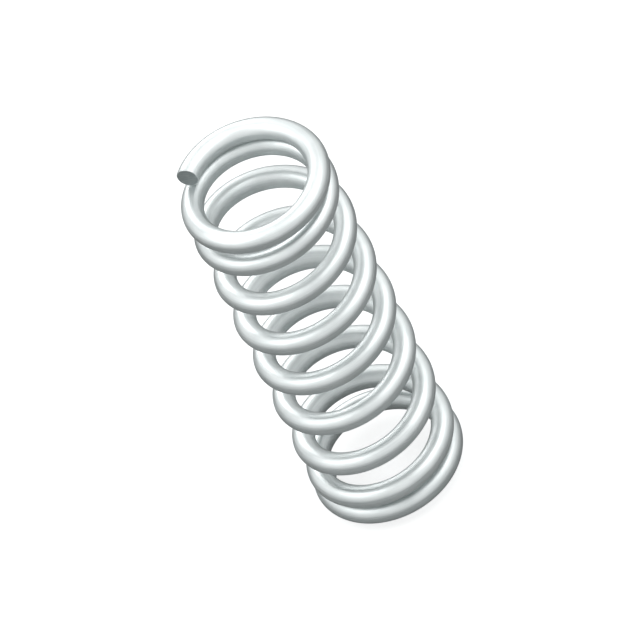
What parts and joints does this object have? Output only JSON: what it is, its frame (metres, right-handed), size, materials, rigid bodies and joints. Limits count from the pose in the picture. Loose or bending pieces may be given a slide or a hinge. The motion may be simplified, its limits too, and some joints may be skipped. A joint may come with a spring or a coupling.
{
  "type": "compression spring",
  "caption": "Helical compression spring of round wire with closed, unground ends; it pushes back when squeezed along its axis.",
  "frame": {"origin": "on the coil's axis, in the plane that the lower end stands on", "axes": "+Z along the coil's axis, from the lower end to the upper; +X through both cut ends of the wire"},
  "size_m": [0.0164, 0.0164, 0.0495],
  "materials": {
    "spring_wire": "bright cold-drawn spring wire, satin, with fine draw marks along the wire"
  },
  "bodies": {
    "root": {"coil": "spring_wire"}
  },
  "joints": []
}
